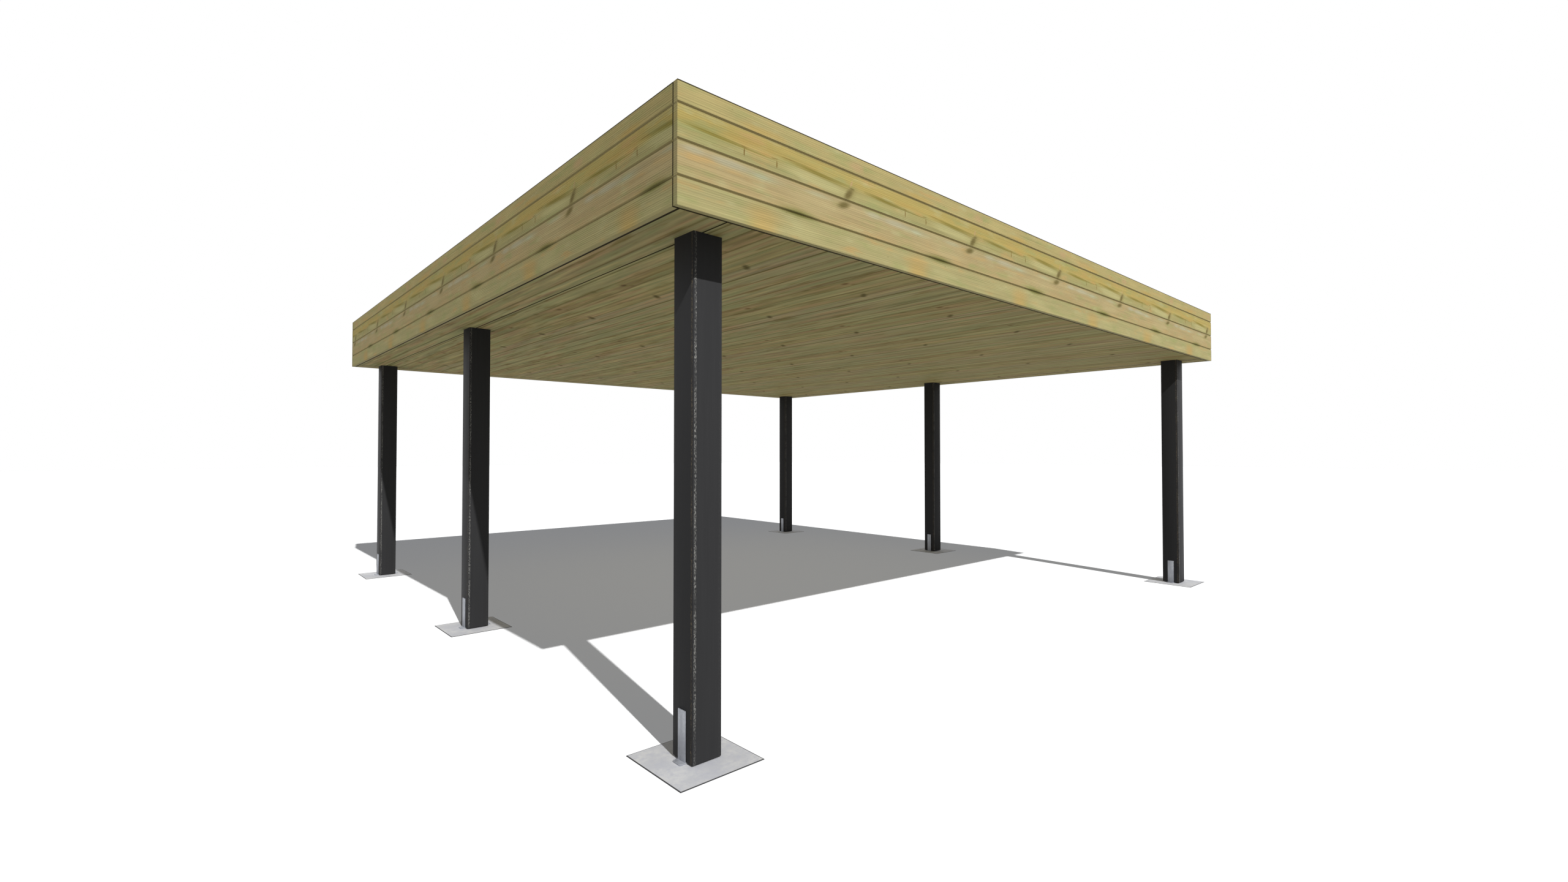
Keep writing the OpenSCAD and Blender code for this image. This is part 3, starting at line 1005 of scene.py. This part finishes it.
def fascia_board(side, row):
    """One board, whose node gives its box."""
    node = f"fascia_{side}_{row}"
    low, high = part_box(node)
    if side in ("left", "right"):
        low.y += CORNER_GAP
        high.y -= CORNER_GAP
    axis = SIDES[side]
    face = (low if side in ("front", "left") else high)[axis]
    seams = [z for z, meets in ((low.z, row != ROWS[-1]), (high.z, row != ROWS[0])) if meets]
    shape = bmesh.new()
    block(shape, low, high)
    on_face = [e for e in shape.edges if lies_at(e, axis, face)]
    ease(shape, [e for e in on_face if any(lies_at(e, Z_AXIS, z) for z in seams)], GROOVE)
    ease(shape, sharp_edges(shape), ARRIS, segments=2)
    finish = fascia_x if axis == Y_AXIS else fascia_y
    return piece(f"{side}_board_{row}", shape, finish, "fascia_wood", node)


for side in SIDES:
    for row in ROWS:
        board = fascia_board(side, row)
print("last board has", len(board.data.polygons), "faces")

# %% [markdown]
# ## Ceiling boards
#
# The ceiling is one CAD solid, and here it is laid board by board. Each board
# is a block with its lower edges chamfered. Where a post passes through, a
# Boolean modifier cuts the notch, as a carpenter would with a jigsaw. The
# Boolean is applied at once, so the piece stays a plain mesh.

# %% Post holes for the ceiling
HOLE_FIT = 0.001
HOLE_SPARE = 0.1
BLOCK_FACES = 6

cutter_shape = bmesh.new()
for side in ("left", "right"):
    for place in ("front", "middle", "back"):
        low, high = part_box(f"post_{side}_{place}")
        wider = Vector((HOLE_FIT, HOLE_FIT, HOLE_SPARE))
        block(cutter_shape, low - wider, high + wider)
cutter_mesh = bpy.data.meshes.new("post_holes")
cutter_shape.to_mesh(cutter_mesh)
cutter_shape.free()
cutter = bpy.data.objects.new("post_holes", cutter_mesh)
bpy.context.scene.collection.objects.link(cutter)


def notched(made):
    """Cuts the post holes out of a piece, and keeps the result as its mesh."""
    cut = made.modifiers.new("notches", "BOOLEAN")
    cut.operation = "DIFFERENCE"
    cut.solver = "EXACT"
    cut.object = cutter
    bpy.context.view_layer.update()
    result = bpy.data.meshes.new_from_object(made.evaluated_get(bpy.context.evaluated_depsgraph_get()))
    made.modifiers.clear()
    made.data = result
    return made


print("holes for", len(cutter_mesh.polygons) // BLOCK_FACES, "posts")

# %% Boards between grooves
BOARD_GAP = 0.0002
BOARD_CHAMFER = 0.0015
LEAST_BOARD = 0.012


def lining(shape, low, high, cuts, across_axis):
    """Lays boards between low and high, parted at each cut across an axis."""
    places = [low[across_axis], *cuts, high[across_axis]]
    for start, end in zip(places, places[1:]):
        board_low, board_high = low.copy(), high.copy()
        board_low[across_axis] = start + BOARD_GAP
        board_high[across_axis] = end - BOARD_GAP
        verts = block(shape, board_low, board_high)
        ease(shape, [e for e in edges_of(verts) if lies_at(e, Z_AXIS, low.z)], BOARD_CHAMFER)


def grooves(low, high):
    """The grooves between low and high that leave no board narrower than the least."""
    first = math.ceil((low + LEAST_BOARD - FIRST_GROOVE) / BOARD_PITCH)
    last = math.floor((high - LEAST_BOARD - FIRST_GROOVE) / BOARD_PITCH)
    return [FIRST_GROOVE + BOARD_PITCH * number for number in range(first, last + 1)]


print("grooves in the ceiling:", len(grooves(CEILING_LOW.x, CEILING_HIGH.x)))

# %% Ceiling and soffit boards
SEAM_GAP = 0.003
inset = Vector((SEAM_GAP, SEAM_GAP, 0))

shape = bmesh.new()
cuts = grooves(CEILING_LOW.x, CEILING_HIGH.x)
lining(shape, CEILING_LOW + inset, CEILING_HIGH - inset, cuts, X_AXIS)
ceiling = notched(piece("ceiling_boards", shape, ceiling_y, "ceiling_wood", "ceiling"))

shape = bmesh.new()
left_high = Vector((CEILING_LOW.x, SOFFIT_HIGH.y, SOFFIT_HIGH.z))
lining(shape, SOFFIT_LOW + inset, left_high - inset, grooves(SOFFIT_LOW.x, CEILING_LOW.x), X_AXIS)
right_low = Vector((CEILING_HIGH.x, SOFFIT_LOW.y, SOFFIT_LOW.z))
lining(shape, right_low + inset, SOFFIT_HIGH - inset, grooves(CEILING_HIGH.x, SOFFIT_HIGH.x), X_AXIS)
soffit_sides = notched(piece("soffit_side_boards", shape, ceiling_y, "ceiling_wood", "soffit_sides"))

shape = bmesh.new()
back_low, back_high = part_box("soffit_back")
lining(shape, back_low + inset, back_high - inset, [back_low.y + BOARD_PITCH], Y_AXIS)
soffit_back = piece("soffit_back_boards", shape, ceiling_x, "ceiling_wood", "soffit_back")
bpy.data.objects.remove(cutter)
for made in (ceiling, soffit_sides, soffit_back):
    print(made.name, len(made.data.polygons), "faces")

# %% [markdown]
# ## Posts, shoes and pads
#
# A post is a block whose four upright edges get a 3 mm rounding in three
# steps. A shoe is a flat plate with two straps that clasp the foot of the
# post on its left and right faces. A pad is a block of concrete, which stands
# in the ground up to its top face. All six are alike, so each kind has one
# function, which takes the box of its node.

# %% Posts
POST_ROUND = 0.003
POST_END_EASE = 0.0015


def post(side, place):
    """A square post with rounded upright edges."""
    node = f"post_{side}_{place}"
    shape = bmesh.new()
    block(shape, *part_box(node))
    ease(shape, upright(shape.edges), POST_ROUND, segments=3)
    ease(shape, sharp_edges(shape), POST_END_EASE, segments=2)
    return piece(f"{node}_painted", shape, post_paint, "post_paint", node, smooth=40)


print("posts are", round(2 * POST_HALF * 1000), "mm square")

# %% Shoes
PLATE_THICK = 0.006
PLATE_ROUND = 0.008
STRAP_THICK = 0.005
STRAP_WIDTH = 0.050
STRAP_FIT = 0.0003
STEEL_EASE = 0.0008


def shoe(side, place):
    """A plate and two straps of galvanised steel."""
    node = f"shoe_{side}_{place}"
    low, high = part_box(node)
    middle = (low + high) / 2
    plate_top = low.z + PLATE_THICK
    shape = bmesh.new()
    plate = block(shape, low, (high.x, high.y, plate_top))
    ease(shape, upright(edges_of(plate)), PLATE_ROUND, segments=4)
    for way in (-1, 1):
        on_post = middle.x + way * (POST_HALF + STRAP_FIT)
        outside = on_post + way * STRAP_THICK
        block(shape, (min(on_post, outside), middle.y - STRAP_WIDTH / 2, plate_top),
              (max(on_post, outside), middle.y + STRAP_WIDTH / 2, high.z))
    ease(shape, sharp_edges(shape), STEEL_EASE, segments=2)
    return piece(f"{node}_steel", shape, galvanised, "galvanised", node, smooth=35)


print("straps are", round(STRAP_WIDTH * 1000), "mm wide")

# %% Pads
PAD_EASE = 0.003


def pad(side, place):
    """A concrete pad with slightly broken edges."""
    node = f"pad_{side}_{place}"
    shape = bmesh.new()
    block(shape, *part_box(node))
    ease(shape, sharp_edges(shape), PAD_EASE, segments=2)
    return piece(f"{node}_cast", shape, concrete, "concrete", node)


for side in ("left", "right"):
    for place in ("front", "middle", "back"):
        for make in (post, shoe, pad):
            made = make(side, place)
        print(side, place, "stands on", made.name)

# %% [markdown]
# ## The roof sheet
#
# The membrane is a tray: flat over the deck, then up and over the rims. The
# CAD tray has sharp folds. A copy of its mesh is merged into one skin and all
# its folds are eased, because a rubber sheet never bends sharply.

# %% Roof sheet
FOLD_EASE = 0.0015
FLAT = math.radians(1)

shape = bmesh.new()
shape.from_mesh(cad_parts["roof_membrane"].data)
bmesh.ops.remove_doubles(shape, verts=shape.verts, dist=TOUCH)
bmesh.ops.dissolve_limit(shape, angle_limit=FLAT, verts=shape.verts, edges=shape.edges)
ease(shape, sharp_edges(shape), FOLD_EASE, segments=2)
sheet = piece("roof_sheet", shape, membrane, "membrane", "roof_membrane", smooth=50)
print("roof sheet has", len(sheet.data.polygons), "faces")

# %% [markdown]
# ## Ground, sky and sun
#
# The floor is white to the eye and keeps the roof's shadow. To the carport it
# is an even pale glow, which lights the ceiling from below. The sun stands in
# front, a little to the left. It is two lamps that shine the same way: one
# lights the carport, and a stronger one the floor, so that the crisp shadow
# there can be as deep as it should be. A dome of soft light, which is a sun
# lamp as wide as the sky, fills the rest. It lights only the carport, through
# light linking, so that the shadow on the floor stays even.

# %% Ground
# how far the pads stand proud of the floor
PAD_PROUD = 0.002
FLOOR_Z = PAD_HIGH.z - PAD_PROUD
FLOOR_SIZE = 60.0
FLOOR_GREY = (0.4, 0.4, 0.4, 1.0)
HAZE = (0.94, 0.96, 1.0, 1.0)
WHITE = (1.0, 1.0, 1.0, 1.0)
GLOW_ON_CARPORT = 0.38
GLOW_IN_SHADOW = 0.25


def seen_directly(tree):
    """1 for rays that come from the eye, a mirror or glass, and 0 for rays that carry light."""
    rays = add(tree, "ShaderNodeLightPath").outputs
    reflected = calc(tree, "MAXIMUM", rays["Is Glossy Ray"], rays["Is Transmission Ray"])
    return calc(tree, "MAXIMUM", rays["Is Camera Ray"], reflected)


shape = bmesh.new()
down_to_floor = Matrix.Translation((0, 0, FLOOR_Z))
bmesh.ops.create_grid(shape, x_segments=1, y_segments=1, size=FLOOR_SIZE, matrix=down_to_floor)
floor_mesh = bpy.data.meshes.new("floor")
shape.to_mesh(floor_mesh)
shape.free()
floor = bpy.data.objects.new("floor", floor_mesh)
bpy.context.scene.collection.objects.link(floor)

ground = bpy.data.materials.new("ground")
ground.use_nodes = True
tree = ground.node_tree
tree.nodes.clear()
pale = add(tree, "ShaderNodeEmission", {"Color": WHITE, "Strength": GLOW_ON_CARPORT}).outputs[0]
grey = add(tree, "ShaderNodeBsdfDiffuse", {"Color": FLOOR_GREY}).outputs[0]
glow = add(tree, "ShaderNodeEmission", {"Color": HAZE, "Strength": GLOW_IN_SHADOW}).outputs[0]
eye_sees = add(tree, "ShaderNodeAddShader", {0: grey, 1: glow}).outputs[0]
chosen = add(tree, "ShaderNodeMixShader", {0: seen_directly(tree), 1: pale, 2: eye_sees}).outputs[0]
add(tree, "ShaderNodeOutputMaterial", {"Surface": chosen})
floor_mesh.materials.append(ground)
print("floor lies at", round(FLOOR_Z, 3), "m")

# %% Sky
world = bpy.data.worlds.new("sky")
world.use_nodes = True
bpy.context.scene.world = world
tree = world.node_tree
tree.nodes.clear()
dark = add(tree, "ShaderNodeBackground", {"Color": WHITE, "Strength": 0.0}).outputs[0]
white = add(tree, "ShaderNodeBackground", {"Color": WHITE, "Strength": 1.0}).outputs[0]
chosen = add(tree, "ShaderNodeMixShader", {0: seen_directly(tree), 1: dark, 2: white}).outputs[0]
add(tree, "ShaderNodeOutputWorld", {"Surface": chosen})
print("the sky is white to the eye, and gives no light of its own")

# %% Sun and dome
SUN_WAY = Vector((0.189, 1.012, -1.0))
DOWN = Vector((0.0, 0.0, -1.0))
SUN_SPREAD = 0.6
SKY_SPREAD = 180.0
SUN_POWER = 2.93
DOME_POWER = 1.05
FLOOR_SUN_POWER = 10.5


def sunlight(name, energy, spread, way, things):
    """A sun lamp that lights only some things. Spread is its size in the sky, in degrees."""
    data = bpy.data.lights.new(name, "SUN")
    data.energy = energy
    data.angle = math.radians(spread)
    lamp = bpy.data.objects.new(name, data)
    lamp.rotation_mode = "QUATERNION"
    lamp.rotation_quaternion = way.to_track_quat("-Z", "Y")
    bpy.context.scene.collection.objects.link(lamp)
    lit = bpy.data.collections.new(name + "_lights")
    for thing in things:
        lit.objects.link(thing)
    lamp.light_linking.receiver_collection = lit


carport = [thing for thing in bpy.context.scene.objects if thing.type == "MESH" and thing is not floor]
sunlight("sun", SUN_POWER, SUN_SPREAD, SUN_WAY, carport)
sunlight("dome", DOME_POWER, SKY_SPREAD, DOWN, carport)
sunlight("floor_sun", FLOOR_SUN_POWER, SUN_SPREAD, SUN_WAY, [floor])
bpy.context.scene.view_settings.view_transform = "Standard"
print("sun stands", round(math.degrees(math.asin(1 / SUN_WAY.length))), "degrees high")
